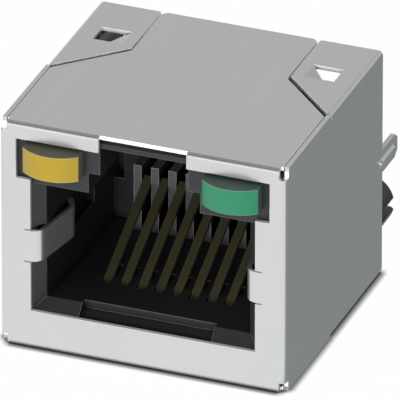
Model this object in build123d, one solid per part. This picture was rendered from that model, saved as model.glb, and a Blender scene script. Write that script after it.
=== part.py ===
from build123d import *
import math
import os

# Shielded modular jack for eight contacts, of the straight kind that stands on a circuit board.
# It lies on its contact side, as it does before it is fitted: mating face towards -Y,
# board side towards +Y, latch keyway up.
# Millimetres. The origin is the middle of the shield's underside, and each sub-part is drawn
# with y = 0 on the outer face of the front plate, then moved back by half the depth.

# Shield, one folded sheet
shield_width = 16.5
shield_height = 13.65
shield_depth = 14.9
sheet = 0.25
bend_inside = 0.02
seam = 0.05
corner_relief_width = 0.4
corner_relief_height = 0.62
corner_relief_depth = 0.48

# Openings of the front plate
side_rail = 1.75
bottom_rail = 2.29
lamp_side_rail = 0.925
lamp_window_height = 2.4
top_rail = 0.94
keyway_gap = 5.08
keyway_gap_relief = 0.02

# Grounding springs, lanced from the sides of the front plate and bent back into the port
spring_bottom = 5.32
spring_height = 1.85
spring_slit = 0.1
spring_slit_length = 0.38
spring_root_inset = 0.43
spring_crown_inset = 1.07
spring_crown_y = 3.65
spring_tip_inset = 0.6
spring_tip_y = 4.45
spring_root_radius = 0.55
spring_crown_radius = 0.8

# Rear flaps, folded over from the side walls and parted from the main plates by a gap
flap_depth = 8.1
flap_reach = 3.68
flap_gap = 0.11
flap_slant_gap = 0.3
flap_corner = 0.12
plate_corner = 0.25

# Windows of the upper flaps, each with a lanced triangular catch bent down
window_inner = 3.0
window_size_x = 1.77
window_setback = 4.3
window_size_y = 1.5
catch_angle = 16.5
catch_share = 0.74
catch_clearance = 0.06

# Solder tabs at the rear edge of the side walls
tab_bottom = 6.18
tab_height = 1.4
tab_length = 2.35
tab_chamfer_y = 0.4
tab_chamfer_z = 0.33
bead_start = 0.55
bead_length = 2.35
bead_width = 0.45
bead_height = 0.15
bead_taper = 30

# Housing, one black moulding
housing_clearance = 0.05
lead_in_margin = 0.02
cavity_side_step = 0.59
cavity_floor = 2.87
back_wall = 4.04
lead_in_depth = 0.6
floor_recess_width = 7.66
floor_recess_back = 1.24
floor_recess_depth = 0.45
floor_recess_slope = 0.3
keyway_lower_width = 6.44
keyway_lower_height = 1.2
keyway_upper_width = 5.1
keyway_height = 2.85
keyway_roof = 0.78
keeper_depth = 1.8
latch_pocket_wall = 3.86
front_chamfer = 0.22
spring_pocket_margin = 0.16
spring_pocket_depth = 0.42
spring_pocket_wall = 2.91
corner_slot_width = 0.65
corner_slot_bottom = 5.23
corner_slot_depth = 0.9

# Pegs of the housing, split so that they spring into the board
peg_inset = 1.9
peg_height = 2.81
peg_radius = 1.6
peg_length = 3.0
peg_tip_chamfer = 0.22
peg_slot = 0.7
peg_root = 0.6
peg_draft = 0.7

# Lamps above the port and their leads
lamp_side_gap = 0.545
lamp_top_gap = 0.28
lamp_width = 3.22
lamp_height = 1.49
lamp_end_proud = 0.33
lamp_bulge = 0.62
lamp_back = 3.9
lamp_clearance = 0.05
lead_size = 0.5
lead_spacing = 2.54
lead_embedded = 0.8
lead_tail = 2.9
lead_rail_width = 0.8
channel_margin = 0.3
channel_drop = 0.2

# Contacts, stamped and formed strip
contact_count = 8
contact_pitch = 1.016
contact_width = 0.47
contact_thickness = 0.25
contact_slope = 28
contact_rise_y = 4.05
contact_rise_z = 2.72
contact_tip_engagement = 0.45
contact_bend = 0.5
contact_level = 1.7
contact_corner = 0.3
riser_setback = 1.8
fan_start_share = 0.45
fan_end_share = 0.83
tail_pitch = 1.27
tail_row_step = 2.54
tail_row_drop = 1.58
tail_length = 2.9

# Contact carrier, the insert that holds the contacts and guides their tips
carrier_side = 0.06
carrier_clearance = 0.05
carrier_recess = 1.44
carrier_tongue_top = 2.1
shoulder_side = 0.7
shoulder_drop = 0.6
comb_depth = 1.11
comb_top = 6.83
tooth_width = 0.45
slot_clearance = 0.04

# Sizes that follow from those above
half_width = shield_width / 2
half_depth = shield_depth / 2
wall_inner = half_width - sheet
housing_half = wall_inner - housing_clearance
housing_front = sheet + housing_clearance
housing_bottom = sheet + housing_clearance
housing_top = shield_height - sheet - housing_clearance
half_port = half_width - side_rail
keyway_top = shield_height - keyway_roof
cavity_top = keyway_top - keyway_height
cavity_back = shield_depth - back_wall
lead_in_half = half_port - lead_in_margin
lead_in_bottom = bottom_rail - lead_in_margin
half_cavity = lead_in_half - cavity_side_step
half_lamp_window = half_width - lamp_side_rail
lamp_window_top = shield_height - top_rail
lamp_window_bottom = lamp_window_top - lamp_window_height
lamp_middle = half_lamp_window - lamp_side_gap - lamp_width / 2
lamp_bottom = lamp_window_top - lamp_top_gap - lamp_height
lamp_middle_z = lamp_bottom + lamp_height / 2
lead_bottom = lamp_middle_z - lead_size / 2
channel_inner = lamp_middle - lead_spacing / 2 - channel_margin
channel_outer = lamp_middle + lead_spacing / 2 + lead_rail_width / 2
channel_floor = lamp_bottom - channel_drop
bend_middle = bend_inside + sheet / 2
bend_outside = bend_inside + sheet
flap_inner_x = half_width - flap_reach
window_hinge_x = half_width - window_inner
window_front = shield_depth - window_setback
flap_start = shield_depth - flap_depth
spring_top = spring_bottom + spring_height
tab_top = tab_bottom + tab_height
slant_shift = flap_slant_gap / math.sqrt(2)
flap_front = flap_start + slant_shift
carrier_top = cavity_top - carrier_clearance
carrier_half = contact_count * contact_pitch / 2 + tooth_width / 2 + carrier_side
shoulder_half = carrier_half + shoulder_side
carrier_block_front = cavity_back + carrier_recess
comb_front = cavity_back - comb_depth
contact_tip_y = comb_front + contact_tip_engagement
riser_y = shield_depth - riser_setback
tail_upper_row = cavity_top - tail_row_drop
tail_lower_row = tail_upper_row - tail_row_step
riser_height = tail_lower_row - contact_level
fan_bottom = contact_level + fan_start_share * riser_height
fan_top = contact_level + fan_end_share * riser_height
shoulder_bottom = fan_top - shoulder_drop
tongue_front = contact_rise_y + 0.2
contact_gradient = math.tan(math.radians(contact_slope))


def block(x0, x1, y0, y1, z0, z1):
    """A box between two corners."""
    size = (x1 - x0, y1 - y0, z1 - z0)
    centre = ((x0 + x1) / 2, (y0 + y1) / 2, (z0 + z1) / 2)
    return Pos(*centre) * Box(*size)


def both_sides(shape):
    """The shape and its mirror image across the middle of the jack."""
    return [shape, mirror(shape, Plane.YZ)]


def prism_x(points, x0, x1):
    """A polygon in (y, z) made solid from x0 to x1."""
    face = make_face(Polyline(*[(0, y, z) for y, z in points], close=True))
    return Pos(x0, 0, 0) * extrude(face, amount=x1 - x0, dir=(1, 0, 0))


def prism_z(points, z0, z1):
    """A polygon in (x, y) made solid from z0 to z1."""
    face = make_face(Polyline(*[(x, y, 0) for x, y in points], close=True))
    return Pos(0, 0, z0) * extrude(face, amount=z1 - z0, dir=(0, 0, 1))


def bent_strip(points, radius, plane, thickness, start, end):
    """Strip of even thickness along rounded points of a plane, as wide as start to end."""
    path = FilletPolyline(*points, radius=radius)
    outline = trace(path, line_width=thickness)
    return extrude(plane.offset(start) * outline, amount=end - start)


def folded_front():
    """Upper main plate, front plate and lower main plate in one strip, with round folds."""
    middle = sheet / 2
    upper = shield_height - middle
    points = [(shield_depth, upper), (middle, upper), (middle, middle), (shield_depth, middle)]
    reach = wall_inner - seam
    return bent_strip(points, bend_middle, Plane.YZ, sheet, -reach, reach)


def side_walls():
    """The two side walls, folded back from the front plate and kept clear of its corners."""
    middle = half_width - sheet / 2
    points = [(-middle, shield_depth), (-middle, sheet / 2), (middle, sheet / 2), (middle, shield_depth)]
    low = corner_relief_height
    high = shield_height - corner_relief_height
    walls = bent_strip(points, bend_middle, Plane.XY, sheet, low, high)
    plain = block(wall_inner, half_width, corner_relief_depth, flap_front, 0, shield_height)
    for wall in both_sides(plain):
        walls += wall
    return walls


def rear_wrap():
    """Right wall behind the main plates' shoulders, folded over into an upper and a lower flap."""
    middle = half_width - sheet / 2
    edge = flap_inner_x + flap_gap / 2
    upper = shield_height - sheet / 2
    points = [(edge, upper), (middle, upper), (middle, sheet / 2), (edge, sheet / 2)]
    wrap = bent_strip(points, bend_middle, Plane.XZ, sheet, -shield_depth, -flap_front)
    before = flap_start - 1
    slant_end = slant_y(edge - 1) + slant_shift
    points = [(edge - 1, before), (wall_inner, before), (wall_inner, flap_front), (edge - 1, slant_end)]
    wrap -= prism_z(points, -1, shield_height + 1)
    wrap -= corner_cut(edge, 1, flap_corner)
    return wrap


def slant_y(x):
    """Middle of the slanted gap between main plate and flap, at a distance x from the middle."""
    return flap_start + wall_inner - x


def corner_cut(edge, way, size):
    """Small slanted cut at the rear corner of a plate whose side edge lies at the given place."""
    outside = edge - way * 1
    tip = edge + way * size
    points = [(outside, shield_depth + 1), (tip, shield_depth + 1), (tip, shield_depth)]
    points += [(edge, shield_depth - size), (outside, shield_depth - size)]
    return prism_z(points, -1, shield_height + 1)


def shoulder_cut():
    """What the main plates leave free for the right flaps, with the gap between them."""
    edge = flap_inner_x - flap_gap / 2
    outer = wall_inner + 1
    rear = shield_depth + 1
    points = [(outer, slant_y(outer) - slant_shift), (edge, slant_y(edge) - slant_shift)]
    points += [(edge, rear), (outer, rear)]
    return prism_z(points, -1, shield_height + 1) + corner_cut(edge, -1, plate_corner)


def front_openings():
    """Port, lamp windows, keyway gap and corner reliefs, cut from the folded front."""
    through = sheet + 0.02
    half_gap = keyway_gap / 2
    cuts = block(-half_port, half_port, -1, through, bottom_rail, lamp_window_bottom + 1)
    cuts += block(-half_lamp_window, half_lamp_window, -1, through, lamp_window_bottom, lamp_window_top)
    gap_depth = bend_outside + keyway_gap_relief
    cuts += block(-half_gap, half_gap, -1, gap_depth, lamp_window_top - 1, shield_height + 1)
    inner = half_width - corner_relief_width
    for low in (-1, shield_height - corner_relief_height):
        relief = block(inner, half_width + 1, -1, corner_relief_depth, low, low + 1 + corner_relief_height)
        for cut in both_sides(relief):
            cuts += cut
    return cuts


def spring_slits():
    """The two thin cuts that free the root of the right grounding spring."""
    inner = half_port - 0.1
    outer = half_port + spring_slit_length
    through = sheet + 0.02
    lower = block(inner, outer, -1, through, spring_bottom - spring_slit, spring_bottom)
    return lower + block(inner, outer, -1, through, spring_top, spring_top + spring_slit)


def grounding_spring():
    """Right grounding spring: out of the front plate, back into the port, tip curled away."""
    root = half_port + spring_slit_length
    points = [(root, sheet / 2), (half_port - spring_root_inset, sheet / 2)]
    points += [(half_port - spring_crown_inset, spring_crown_y)]
    points += [(half_port - spring_tip_inset, spring_tip_y)]
    radii = [spring_root_radius, spring_crown_radius]
    return bent_strip(points, radii, Plane.XY, sheet, spring_bottom, spring_top)


def flap_window():
    """Square window of the right upper flap."""
    low = shield_height - sheet - 1
    return block(window_hinge_x, window_hinge_x + window_size_x, window_front,
                 window_front + window_size_y, low, shield_height + 1)


def window_catch():
    """Three-cornered catch on the inner edge of the right window, bent down over the housing."""
    reach = catch_share * window_size_x
    low = catch_clearance
    high = window_size_y - catch_clearance
    plate = prism_z([(0, low), (reach, low), (0, high)], -sheet / 2, sheet / 2)
    roll = Pos(0, window_size_y / 2, 0) * Rot(90, 0, 0) * Cylinder(sheet / 2, high - low)
    bent = Rot(0, catch_angle, 0) * plate + roll
    return Pos(window_hinge_x, window_front, shield_height - sheet / 2) * bent


def solder_tab():
    """Right solder tab, a tongue of the side wall with slanted corners and a stiffening bead."""
    tip = shield_depth + tab_length
    root = shield_depth - 0.5
    middle_z = (tab_bottom + tab_top) / 2
    points = [(root, tab_bottom), (tip - tab_chamfer_y, tab_bottom), (tip, tab_bottom + tab_chamfer_z)]
    points += [(tip, tab_top - tab_chamfer_z), (tip - tab_chamfer_y, tab_top), (root, tab_top)]
    tab = prism_x(points, wall_inner, half_width)
    return tab + Pos(half_width, 0, middle_z) * bead(bead_width)


def bead(width):
    """Round-ended bead along Y, raised from the plane x = 0 and narrowing outwards."""
    middle = shield_depth - bead_start + bead_length / 2
    outline = Plane.YZ * SlotOverall(bead_length + width - bead_width, width)
    return Pos(0, middle, 0) * extrude(outline, amount=bead_height, taper=bead_taper)


def flap_slit():
    """Narrow slit that parts the right wall's plain edge from the fold of the flap."""
    low = shield_height - bend_outside - seam
    front = flap_front - flap_gap
    inner = wall_inner - seam
    upper = block(inner, half_width + 1, front, flap_front, low, shield_height + 1)
    lower = block(inner, half_width + 1, front, flap_front, -1, bend_outside + seam)
    return upper + lower


def shield_shell():
    """The whole shield as one sheet."""
    shell = folded_front()
    for cut in both_sides(shoulder_cut()):
        shell -= cut
    shell += side_walls()
    for wrap in both_sides(rear_wrap()):
        shell += wrap
    shell -= front_openings()
    for cut in both_sides(spring_slits() + flap_window() + flap_slit()):
        shell -= cut
    for added in both_sides(grounding_spring() + window_catch() + solder_tab()):
        shell += added
    groove = Pos(wall_inner, 0, (tab_bottom + tab_top) / 2) * bead(bead_width - sheet / 2)
    for cut in both_sides(groove):
        shell -= cut
    return shell


def housing_body():
    """Outer block of the housing, with its upper front edge taken off."""
    body = block(-housing_half, housing_half, housing_front, shield_depth, housing_bottom, housing_top)
    edge = body.faces().sort_by(Axis.Z)[-1].edges().sort_by(Axis.Y)[0]
    return chamfer(edge, front_chamfer)


def port_cavity():
    """Space for the plug: lead-in, cavity and the recess across the front of its floor."""
    cavity = block(-half_cavity, half_cavity, 0, cavity_back, cavity_floor, cavity_top)
    mouth = frontal_rectangle(lead_in_half, lead_in_bottom, housing_front)
    throat = frontal_rectangle(half_cavity, cavity_floor, housing_front + lead_in_depth)
    cavity += loft([mouth, throat], ruled=True)
    recess_half = floor_recess_width / 2
    deep = cavity_floor - floor_recess_depth
    points = [(0, cavity_floor + 1), (floor_recess_back, cavity_floor + 1), (floor_recess_back, deep)]
    points += [(housing_front, deep - floor_recess_slope), (0, deep - floor_recess_slope)]
    return cavity + prism_x(points, -recess_half, recess_half)


def frontal_rectangle(half, low, y):
    """Upright rectangle facing the front, from the given height up to the cavity's roof."""
    corners = [(-half, y, low), (half, y, low), (half, y, cavity_top), (-half, y, cavity_top)]
    return make_face(Polyline(*corners, close=True))


def latch_keyway():
    """Stepped keyway for the plug's latch, with the keeper in front and a wider pocket behind."""
    step = cavity_top + keyway_lower_height
    keeper_back = housing_front + keeper_depth
    half_low = keyway_lower_width / 2
    half_high = keyway_upper_width / 2
    keyway = block(-half_low, half_low, 0, keeper_back, cavity_top - 0.1, step)
    keyway += block(-half_high, half_high, 0, keeper_back, cavity_top - 0.1, keyway_top)
    pocket_back = cavity_back - latch_pocket_wall
    keyway += block(-half_low, half_low, keeper_back - 0.1, pocket_back, cavity_top - 0.1, keyway_top)
    return keyway


def spring_pocket():
    """Pocket in the right cavity wall for the grounding spring."""
    inner = half_cavity - 0.1
    outer = half_cavity + spring_pocket_depth
    low = spring_bottom - spring_pocket_margin
    high = spring_top + spring_pocket_margin
    return block(inner, outer, 0, cavity_back - spring_pocket_wall, low, high)


def lamp_pocket():
    """Pocket for the right lamp, and the open channel for its leads behind it."""
    half = lamp_width / 2 + lamp_clearance
    low = lamp_bottom - lamp_clearance
    high = lamp_bottom + lamp_height + lamp_clearance
    pocket_back = lamp_back + lamp_clearance
    pocket = block(lamp_middle - half, lamp_middle + half, 0, pocket_back + 0.1, low, high)
    channel = block(channel_inner, channel_outer, pocket_back, shield_depth + 1, channel_floor, shield_height)
    for x in lead_places():
        half = lead_rail_width / 2
        channel -= block(x - half, x + half, pocket_back, shield_depth, channel_floor, lead_bottom)
    return pocket + channel


def lead_places():
    """Distances from the middle of the two leads of a lamp."""
    return [lamp_middle - lead_spacing / 2, lamp_middle + lead_spacing / 2]


def corner_slot():
    """Upright slot in the right corner of the cavity's back wall."""
    inner = half_cavity - corner_slot_width
    rear = cavity_back + corner_slot_depth
    return block(inner, half_cavity, cavity_back - 0.1, rear, corner_slot_bottom, cavity_top)


def carrier_seat():
    """Opening in the back and underside of the housing that the contact carrier slides into."""
    half = carrier_half + carrier_clearance
    seat = block(-half, half, cavity_back - 0.1, shield_depth + 1, 0, cavity_top)
    tongue_top = carrier_tongue_top + carrier_clearance
    seat += block(-half, half, tongue_front - carrier_clearance, shield_depth + 1, 0, tongue_top)
    seat += block(-half, half, comb_front - carrier_clearance, shield_depth + 1, 0, cavity_floor + 0.1)
    wide = shoulder_half + carrier_clearance
    low = shoulder_bottom - carrier_clearance
    seat += block(-wide, wide, carrier_block_front, shield_depth + 1, low, cavity_top)
    slot_half = contact_width / 2 + slot_clearance
    slot_front = contact_rise_y - contact_bend - 0.1
    slot_back = contact_rise_y + 1.6
    for x in contact_places(contact_pitch):
        low = contact_level - contact_thickness
        seat += block(x - slot_half, x + slot_half, slot_front, slot_back, low, cavity_floor + 1)
    return seat


def contact_places(pitch):
    """Distances from the middle of the contacts at the given pitch."""
    return [(i - (contact_count - 1) / 2) * pitch for i in range(contact_count)]


def peg():
    """Right peg: a round root, then two prongs with a little draft, parted by a level slot."""
    shank_end = peg_length - peg_tip_chamfer
    tip_radius = peg_radius - (shank_end - peg_root) * math.tan(math.radians(peg_draft))
    outline = [(0, 0), (peg_radius, 0), (peg_radius, peg_root), (tip_radius, shank_end)]
    outline += [(tip_radius - peg_tip_chamfer, peg_length), (0, peg_length)]
    post = revolve(make_face(Polyline(*outline, close=True)), Axis.Y)
    slot = block(-peg_radius - 1, peg_radius + 1, peg_root, peg_length + 1, -peg_slot / 2, peg_slot / 2)
    return Pos(half_width - peg_inset, shield_depth, peg_height) * (post - slot)


def housing():
    """The black moulding with its port, keyway, pockets and pegs."""
    body = housing_body() - port_cavity() - latch_keyway() - carrier_seat()
    for cut in both_sides(spring_pocket() + lamp_pocket() + corner_slot()):
        body -= cut
    for post in both_sides(peg()):
        body += post
    return body


def lamp(side):
    """One lamp: clear resin block with a bulged front, moulded round its leads."""
    middle = side * lamp_middle
    half = lamp_width / 2
    ends = -lamp_end_proud
    left = (middle - half, ends)
    right = (middle + half, ends)
    front = ThreePointArc(left, (middle, ends - lamp_bulge), right)
    rest = Polyline(right, (middle + half, lamp_back), (middle - half, lamp_back), left)
    body = extrude(make_face(front + rest), amount=lamp_height, dir=(0, 0, 1))
    body = Pos(0, 0, lamp_bottom) * body
    for x in lead_places():
        body -= lamp_lead(side * x)
    return body


def lamp_lead(x):
    """Square lead of a lamp, straight back to the board side."""
    half = lead_size / 2
    front = lamp_back - lead_embedded
    return block(x - half, x + half, front, shield_depth + lead_tail, lead_bottom, lead_bottom + lead_size)


def contact(index):
    """One contact: tip in the comb, sprung blade, fold in the floor, fan-out and tail."""
    x = contact_places(contact_pitch)[index]
    tail_x = contact_places(tail_pitch)[index]
    return contact_blade(x) + contact_fan(x, tail_x) + contact_tail(tail_x, index % 2)


def contact_blade(x):
    """Riser, run under the floor, fold, and the blade that springs up and back to the comb."""
    rise = (contact_tip_y - contact_rise_y) * contact_gradient
    fold_y = contact_rise_y - (contact_rise_z - contact_level) / contact_gradient
    points = [(riser_y, fan_bottom), (riser_y, contact_level), (fold_y, contact_level)]
    points += [(contact_tip_y, contact_rise_z + rise)]
    radii = [contact_corner, contact_bend]
    half = contact_width / 2
    return bent_strip(points, radii, Plane.YZ, contact_thickness, x - half, x + half)


def contact_fan(x, tail_x):
    """Upright stretch that carries the contact sideways from the blade to its tail."""
    points = [(x, fan_bottom - contact_width), (x, fan_bottom)]
    points += [(tail_x, fan_top), (tail_x, fan_top + contact_width)]
    outline = trace(Polyline(*points), line_width=contact_width)
    front = riser_y - contact_thickness / 2
    return Pos(0, front, 0) * extrude(Plane.XZ * outline, amount=contact_thickness, dir=(0, 1, 0))


def contact_tail(x, upper):
    """Tail towards the board, in the lower or the upper of the two rows."""
    row = tail_upper_row if upper else tail_lower_row
    points = [(riser_y, fan_top), (riser_y, row), (shield_depth + tail_length, row)]
    half = contact_width / 2
    return bent_strip(points, contact_corner, Plane.YZ, contact_thickness, x - half, x + half)


def tooth_places():
    """Distances from the middle of the comb's teeth, one on each side of every contact."""
    return [(i - contact_count / 2) * contact_pitch for i in range(contact_count + 1)]


def contact_carrier(contacts):
    """Insert with a tongue under the floor, a block behind and the comb that stands on them."""
    half = carrier_half
    body = block(-half, half, tongue_front, shield_depth, housing_bottom, carrier_tongue_top)
    body += block(-half, half, comb_front, shield_depth, housing_bottom, cavity_floor)
    body += block(-half, half, carrier_block_front, shield_depth, housing_bottom, carrier_top)
    wide = shoulder_half
    front = carrier_block_front + carrier_clearance
    body += block(-wide, wide, front, shield_depth, shoulder_bottom, carrier_top)
    for x in tooth_places():
        left = x - tooth_width / 2
        right = x + tooth_width / 2
        body += block(left, right, comb_front, carrier_block_front, cavity_floor, comb_top)
    for piece in contacts:
        body -= piece
    return body


def build():
    """Every sub-part by its name, still with y = 0 on the front plate."""
    contacts = [contact(index) for index in range(contact_count)]
    parts = {"shield_shell": shield_shell(), "housing": housing()}
    parts["contact_carrier"] = contact_carrier(contacts)
    for index, piece in enumerate(contacts):
        parts[f"contact_{index + 1}"] = piece
    for side, word in ((-1, "left"), (1, "right")):
        parts[f"lamp_{word}"] = lamp(side)
        for x, place in zip(lead_places(), ("inner", "outer")):
            parts[f"lamp_{word}_lead_{place}"] = lamp_lead(side * x)
    return parts


os.makedirs("parts", exist_ok=True)
for name, shape in build().items():
    export_step(Pos(0, -half_depth, 0) * shape, f"parts/{name}.step")
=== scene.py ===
import bpy
import math
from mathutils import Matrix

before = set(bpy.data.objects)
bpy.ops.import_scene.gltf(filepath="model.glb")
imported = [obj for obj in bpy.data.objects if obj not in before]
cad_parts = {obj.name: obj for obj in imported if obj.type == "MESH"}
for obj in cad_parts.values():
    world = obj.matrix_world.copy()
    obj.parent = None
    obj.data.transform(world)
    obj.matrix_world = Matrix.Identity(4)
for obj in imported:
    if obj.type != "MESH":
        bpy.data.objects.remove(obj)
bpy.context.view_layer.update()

# Shield. One sheet of tinned steel, lanced and folded round the housing: front plate, two main
# plates, side walls with rear flaps, grounding springs, window catches and solder tabs.
# The blank's cut edges and every rounded edge carry a painted near-white highlight, and the tin is
# satin with faint rolling marks.
SHELL_MIDDLE = 6.825e-3
PLATE_INNER = 6.56e-3
CATCH_DROP = 0.3e-3
WALL_INNER = 7.98e-3
FRONT_INNER = -7.19e-3
DULL_TIN = (0.60, 0.608, 0.608)
CLEAN_TIN = (0.64, 0.645, 0.642)
HIGHLIGHT_TIN = (0.96, 0.96, 0.955)


class Value:
    """One socket of a node tree. Arithmetic on it adds Math nodes."""

    def __init__(self, tree, socket=None):
        self.tree = tree
        self.socket = socket

    def node(self, kind, settings=(), inputs=(), output=0):
        """Adds a node, makes its settings, then gives its sockets their values or links."""
        node = self.tree.nodes.new("ShaderNode" + kind)
        for name, setting in dict(settings).items():
            setattr(node, name, setting)
        for name, value in dict(inputs).items():
            if isinstance(value, Value):
                self.tree.links.new(value.socket, node.inputs[name])
            else:
                node.inputs[name].default_value = value
        return Value(self.tree, node.outputs[output] if node.outputs else None)

    def maths(self, operation, *values):
        return self.node("Math", {"operation": operation}, dict(enumerate(values)))

    def __add__(self, other):
        return self.maths("ADD", self, other)

    def __radd__(self, other):
        return self.maths("ADD", other, self)

    def __sub__(self, other):
        return self.maths("SUBTRACT", self, other)

    def __rsub__(self, other):
        return self.maths("SUBTRACT", other, self)

    def __mul__(self, other):
        return self.maths("MULTIPLY", self, other)

    def __rmul__(self, other):
        return self.maths("MULTIPLY", other, self)

    def above(self, limit):
        return self.maths("GREATER_THAN", self, limit)

    def between(self, low, high):
        """0 below low, 1 above high and an even rise from one to the other."""
        inputs = {"Value": self, "From Min": low, "From Max": high}
        return self.node("MapRange", {"clamp": True}, inputs)

    def tint(self, first, second):
        """The first colour where this value is 0 and the second where it is 1."""
        ends = [colour if isinstance(colour, Value) else (*colour, 1) for colour in (first, second)]
        return self.node("Mix", {"data_type": "RGBA"}, {0: self, 6: ends[0], 7: ends[1]}, 2)


def new_finish(name):
    """A material with an empty node tree, the value that its nodes start from, and the place
    of each point in the piece's own coordinates."""
    material = bpy.data.materials.new(name)
    material.use_nodes = True
    material.node_tree.nodes.clear()
    start = Value(material.node_tree)
    return material, start, start.node("TexCoord", {}, {}, "Object")


def surface(start, **sockets):
    """The Principled shader with these sockets, as the material's surface."""
    inputs = {name.replace("_", " "): value for name, value in sockets.items()}
    shader = start.node("BsdfPrincipled", {}, inputs)
    start.node("OutputMaterial", {}, {"Surface": shader})


def grain(start, place, scale, detail=3.0, factors=(1, 1, 1)):
    """Noise at a place. A factor below 1 draws its spots out into streaks along that axis."""
    spot = start.node("Mapping", {}, {"Vector": place, "Scale": factors})
    return start.node("TexNoise", {}, {"Vector": spot, "Scale": scale, "Detail": detail})


def rounded_edges(start, radius):
    """Normal that rounds every edge off, and a mask that is 1 on the rounding."""
    normal = start.node("Bevel", {"samples": 8}, {"Radius": radius})
    flat = start.node("NewGeometry", {}, {}, "Normal")
    facing = start.node("VectorMath", {"operation": "DOT_PRODUCT"}, {0: normal, 1: flat}, "Value")
    return normal, (1 - facing).between(0.02, 0.1)


def embossed(start, normal, height, strength, depth):
    """The normal with fine relief on it, as deep as this where the height is 1."""
    inputs = {"Strength": strength, "Distance": depth, "Height": height, "Normal": normal}
    return start.node("Bump", {}, inputs)


def apart(start, vector):
    """The three components of a vector."""
    separate = start.node("SeparateXYZ", {}, {"Vector": vector}).socket.node
    return [Value(start.tree, socket) for socket in separate.outputs]


def cut_edges(start, place):
    """1 on the shell's cut edges, which stand square to the plate that they end, or else 0."""
    x, y, z = apart(start, place)
    aside = x.maths("ABSOLUTE", x)
    level = z.maths("ABSOLUTE", z - SHELL_MIDDLE)
    facing = apart(start, start.node("TexCoord", {}, {}, "Normal"))
    across, along, upright = [1 - part.maths("ABSOLUTE", part).between(0.3, 0.4) for part in facing]
    inner = 1 - aside.above(WALL_INNER)
    behind = y.above(FRONT_INNER)
    between = 1 - level.above(PLATE_INNER)
    plates = upright * inner * behind * level.above(PLATE_INNER - CATCH_DROP)
    front = along * inner * (1 - behind) * between
    walls = across * (1 - inner) * behind * between
    return plates + front + walls


def dress(names, material):
    """Puts the finish on CAD nodes."""
    for name in names:
        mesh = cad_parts[name].data
        mesh.materials.clear()
        mesh.materials.append(material)


tin, start, place = new_finish("satin tin plate")
clouds = grain(start, place, 260)
rolling = grain(start, place, 2600, detail=2.0, factors=(1, 0.06, 1))
speckle = grain(start, place, 9000, detail=2.0)
edge_normal, edge = rounded_edges(start, radius=0.05e-3)
cut = cut_edges(start, place)
# Painted highlight: cut edges and rounded edges are coloured near white, and the cut edges are made
# less metallic.
painted_edge_highlight = cut.maths("MAXIMUM", cut, edge * 0.9)
plate_colour = painted_edge_highlight.tint(clouds.tint(DULL_TIN, CLEAN_TIN), HIGHLIGHT_TIN)
relief = embossed(start, edge_normal, rolling * 0.7 + speckle * 0.3, strength=0.05, depth=0.004e-3)
surface(start, Base_Color=plate_colour, Metallic=0.8 - cut * 0.5,
        Roughness=0.20 + clouds * 0.05 + rolling * 0.04, Normal=relief)
dress(["shield_shell"], tin)

# Housing. One black polyester moulding: plug cavity, stepped keyway, lamp pockets, lead channels
# and split pegs. The tool left a fine matt texture, a little shinier on the outside corners, which
# carry a painted highlight. Inside corners and hollows carry painted shade.
CORNER_REACH = 0.5e-3
FLOW_BLACK = (0.0125, 0.014, 0.0145)
BODY_BLACK = (0.018, 0.0195, 0.020)
EDGE_HIGHLIGHT_GREY = (0.15, 0.155, 0.155)
PAINTED_SHADE_BLACK = (0.002, 0.002, 0.002)


def openness(start, reach, samples=8):
    """1 in the open, and less where other faces stand within reach, as in a corner."""
    return start.node("AmbientOcclusion", {"samples": samples}, {"Distance": reach}, "AO")


black, start, place = new_finish("black moulded plastic")
flow = grain(start, place, 180, detail=4.0)
texture = grain(start, place, 6500, detail=2.0)
edge_normal, edge = rounded_edges(start, radius=0.06e-3)
# Painted highlight: rounded edges are tinted towards a pale grey.
body_colour = (edge * 0.8).tint(flow.tint(FLOW_BLACK, BODY_BLACK), EDGE_HIGHLIGHT_GREY)
# Painted shade: the colour goes to near black where other faces stand close, as in corners and
# hollows.
body_colour = openness(start, CORNER_REACH).between(0.35, 0.9).tint(PAINTED_SHADE_BLACK, body_colour)
relief = embossed(start, edge_normal, texture, strength=0.25, depth=0.01e-3)
surface(start, Base_Color=body_colour, Roughness=0.36 + flow * 0.12 - edge * 0.1,
        Specular_IOR_Level=0.5, Normal=relief)
dress(["housing"], black)

# Contact carrier. A second black moulding, glass filled, pushed into the housing from behind. Its
# comb keeps the contact tips apart. Its edges carry a painted highlight, and its hollows painted
# shade.
COMB_REACH = 1.0e-3
FLOW_GREY = (0.050, 0.051, 0.050)
INSERT_GREY = (0.072, 0.073, 0.071)
INSERT_HIGHLIGHT_GREY = (0.40, 0.405, 0.40)
insert, start, place = new_finish("glass filled insert")
fibres = grain(start, place, 3200, factors=(1, 1, 0.25))
flow = grain(start, place, 240)
edge_normal, edge = rounded_edges(start, radius=0.05e-3)
# Painted highlight: rounded edges are tinted towards a pale grey.
insert_colour = (edge * 0.8).tint(flow.tint(FLOW_GREY, INSERT_GREY), INSERT_HIGHLIGHT_GREY)
# Painted shade: the colour goes to near black where other faces stand within a millimetre, deep in
# the comb.
insert_colour = openness(start, COMB_REACH).between(0.35, 0.85).tint(PAINTED_SHADE_BLACK, insert_colour)
relief = embossed(start, edge_normal, fibres, strength=0.2, depth=0.008e-3)
surface(start, Base_Color=insert_colour, Roughness=0.40 + fibres * 0.15, Normal=relief)
dress(["contact_carrier"], insert)

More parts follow.
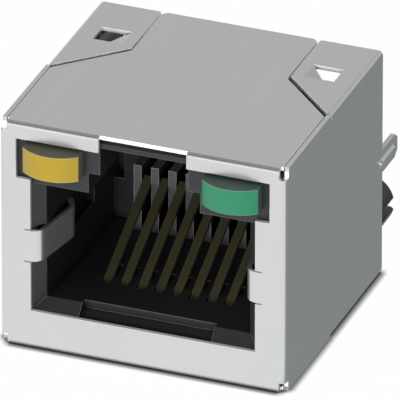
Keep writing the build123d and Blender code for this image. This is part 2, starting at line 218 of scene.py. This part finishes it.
# Contacts. Eight phosphor bronze strips, stamped and formed, pressed into the carrier: gold over
# nickel where the plug touches them, and tinned tails. The two platings meet in a wavy line.
TIN_STARTS = (4.4e-3, 5.0e-3)
TIN_WAVES = 0.6e-3
STAINED_GOLD = (0.165, 0.148, 0.080)
CLEAN_GOLD = (0.21, 0.19, 0.105)
TINNED_TAIL = (0.60, 0.60, 0.58)
GOLD_EDGE_HIGHLIGHT = (0.70, 0.66, 0.54)
bronze, start, place = new_finish("gold plated bronze")
depth = apart(start, place)[1]
drawn = grain(start, place, 5200, detail=2.0, factors=(1, 0.08, 0.08))
stain = grain(start, place, 700)
edge_normal, edge = rounded_edges(start, radius=0.03e-3)
tinned = (depth + stain * TIN_WAVES).between(*TIN_STARTS)
strip_colour = tinned.tint(stain.tint(STAINED_GOLD, CLEAN_GOLD), TINNED_TAIL)
# Painted highlight: rounded edges are tinted towards a pale gold.
strip_colour = (edge * 0.5).tint(strip_colour, GOLD_EDGE_HIGHLIGHT)
relief = embossed(start, edge_normal, drawn, strength=0.15, depth=0.004e-3)
surface(start, Base_Color=strip_colour, Metallic=0.85, Roughness=0.42 + drawn * 0.12, Normal=relief)
dress([f"contact_{number}" for number in range(1, 9)], bronze)

# Lamps. Two blocks of tinted resin, yellow and green, cast round their leads. The bulged front is
# frosted and shows the colour. The clear sides carry a painted grey shade, standing in for the dark
# pocket seen through them, and the rounded edges carry a painted pale highlight.
# Each pair holds the front colour, then the painted shade for the sides.
LAMP_COLOURS = {"left": ((0.36, 0.25, 0.020), (0.165, 0.158, 0.120)),
                "right": ((0.016, 0.185, 0.090), (0.105, 0.155, 0.135))}
for side, (front_colour, side_colour) in LAMP_COLOURS.items():
    resin, start, place = new_finish(side + " lamp resin")
    forward = 0 - apart(start, start.node("TexCoord", {}, {}, "Normal"))[1]
    milk = grain(start, place, 900)
    skin = grain(start, place, 4000, detail=2.0)
    edge_normal, edge = rounded_edges(start, radius=0.09e-3)
    frosted = (forward + milk * 0.05).between(0.45, 0.65)
    pale = tuple(0.5 + 0.5 * part for part in front_colour)
    # Painted shade on the sides and painted highlight on the rounded edges.
    resin_colour = (edge * 0.3).tint(frosted.tint(side_colour, front_colour), pale)
    relief = embossed(start, edge_normal, skin, strength=0.08, depth=0.005e-3)
    surface(start, Base_Color=resin_colour, Roughness=0.5 - frosted * 0.2 + milk * 0.06,
            Normal=relief)
    dress(["lamp_" + side], resin)

# Lamp leads. Square steel wires, tinned, cast into the lamps. They run straight back to the board
# side in the housing's open channels, with faint drawing marks along them.
DULL_LEAD = (0.52, 0.53, 0.53)
CLEAN_LEAD = (0.64, 0.65, 0.64)
wire, start, place = new_finish("tinned lead wire")
drawn = grain(start, place, 3800, detail=2.0, factors=(1, 0.05, 1))
edge_normal, edge = rounded_edges(start, radius=0.03e-3)
relief = embossed(start, edge_normal, drawn, strength=0.15, depth=0.005e-3)
surface(start, Base_Color=drawn.tint(DULL_LEAD, CLEAN_LEAD), Metallic=0.8,
        Roughness=0.32 + drawn * 0.1, Normal=relief)
dress([f"lamp_{side}_lead_{row}" for side in LAMP_COLOURS for row in ("inner", "outer")], wire)

# Floor. A pale matt table. Seen by the camera and in reflections it is white where nothing
# shades it, and it carries a painted contact shadow where the jack stands close, with a trace of
# the real shadow. To the right, reflections find a painted grey patch on it, painted shade for the
# jack's right side.
TABLE_SIZE = 4
SHADOW_REACH = 0.45e-3
SHADE_PATCH_SIDE = (7.9e-3, 8.1e-3)
SHADE_PATCH_FRONT = (-9e-3, -7e-3)
REFLECTED_SHADE_GREY = (0.315, 0.342, 0.35)
TABLE_PALE = (0.8, 0.8, 0.8, 1)
GLOW_SHARE = 0.99
WHITE = (1, 1, 1)
BLACK = (0, 0, 0)


def seen_rays(start):
    """Masks for rays from the camera, off a glossy surface and through a clear one."""
    kinds = ("Is Camera Ray", "Is Glossy Ray", "Is Transmission Ray")
    return [start.node("LightPath", {}, {}, kind) for kind in kinds]


bpy.ops.object.select_all(action="DESELECT")
bpy.ops.mesh.primitive_plane_add(size=TABLE_SIZE, location=(0, 0, 0))
table = bpy.context.object
table.name = "table"
paper, start, place = new_finish("white table")
camera_ray, glossy_ray, clear_ray = seen_rays(start)
across, along = apart(start, place)[:2]
# Painted shadow: the table's glow darkens where the jack stands close.
shade = openness(start, SHADOW_REACH, samples=16)
shade = shade.maths("POWER", shade, 3)
# Painted reflection shade: a grey patch, seen only by glossy rays, darkens the jack's right side.
reflected_shade = glossy_ray * across.between(*SHADE_PATCH_SIDE) * along.between(*SHADE_PATCH_FRONT)
glow = start.node("Emission", {}, {"Color": reflected_shade.tint(shade.tint(BLACK, WHITE), REFLECTED_SHADE_GREY)})
matt = start.node("BsdfDiffuse", {}, {"Color": TABLE_PALE})
seen = (camera_ray + glossy_ray + clear_ray) * GLOW_SHARE
both = start.node("MixShader", {}, {0: seen, 1: matt, 2: glow})
start.node("OutputMaterial", {}, {"Surface": both})
table.data.materials.append(paper)

# Light. A pale studio with a bright front wall, a greyer back wall and a grey ceiling that is dark
# in front, all seen only in reflections. One soft box shines into the port and one from above.
FRONT_WALL = (1.25, 1.25, 1.25)
BACK_WALL = (0.76, 0.76, 0.76)
FRONT_CEILING = (0.02, 0.02, 0.02)
CEILING = (0.27, 0.27, 0.27)
WALLS_CHANGE = (-0.2, 0.3)
CEILING_CHANGES = (-0.35, 0)
CEILING_STARTS = (0.58, 0.65)
OVERHEAD = (0.90, 0.97)
FILL = 0.12
LIT_POINT = (0, 0, 6e-3)
world = bpy.data.worlds.new("studio")
bpy.context.scene.world = world
world.use_nodes = True
world.node_tree.nodes.clear()
start = Value(world.node_tree)
camera_ray, glossy_ray, clear_ray = seen_rays(start)
back, height = apart(start, start.node("TexCoord", {}, {}, "Generated"))[1:]
walls = back.between(*WALLS_CHANGE).tint(FRONT_WALL, BACK_WALL)
grey = back.maths("MAXIMUM", back.between(*CEILING_CHANGES), height.between(*OVERHEAD))
room = height.between(*CEILING_STARTS).tint(walls, grey.tint(FRONT_CEILING, CEILING))
backdrop = start.node("Background", {}, {"Color": glossy_ray.tint(WHITE, room)})
fill = start.node("Background", {}, {"Strength": FILL})
seen = camera_ray + glossy_ray + clear_ray
both = start.node("MixShader", {}, {0: seen, 1: fill, 2: backdrop})
start.node("OutputWorld", {}, {"Surface": both})


def soft_box(name, place, width, height, power):
    """A rectangular lamp at a place, turned towards the jack and unseen in reflections."""
    bpy.ops.object.light_add(type="AREA", location=place)
    box = bpy.context.object
    box.name = name
    box.data.shape = "RECTANGLE"
    box.data.size = width
    box.data.size_y = height
    box.data.energy = power
    box.visible_glossy = False
    way = [end - begin for begin, end in zip(place, LIT_POINT)]
    flat = math.hypot(way[0], way[1])
    box.rotation_euler = (math.atan2(flat, -way[2]), 0, math.atan2(-way[0], way[1]))


soft_box("low front box", (0.03, -0.40, 0.056), width=0.20, height=0.10, power=1.9)
soft_box("top box", (-0.05, -0.16, 0.36), width=0.25, height=0.25, power=0.32)

# Camera. From 21 degrees to the right and 28 degrees above, through a very long lens, since the
# sides of the jack hardly converge.
AZIMUTH = math.radians(21.03)
ELEVATION = math.radians(28.2)
DISTANCE = 0.9
SEEN_WIDTH = 21.745e-3
CENTRE = (0, 1.21e-3, 6.01e-3)
SENSOR = 36
NEAREST = 0.1
FARTHEST = 10
away = (math.sin(AZIMUTH) * math.cos(ELEVATION), -math.cos(AZIMUTH) * math.cos(ELEVATION),
        math.sin(ELEVATION))
bpy.ops.object.camera_add(location=[middle + way * DISTANCE for middle, way in zip(CENTRE, away)],
                          rotation=(math.pi / 2 - ELEVATION, 0, AZIMUTH))
camera = bpy.context.object
camera.data.sensor_width = SENSOR
camera.data.lens = SENSOR * DISTANCE / SEEN_WIDTH
camera.data.clip_start = NEAREST
camera.data.clip_end = FARTHEST
bpy.context.scene.camera = camera
bpy.context.scene.view_settings.view_transform = "Standard"
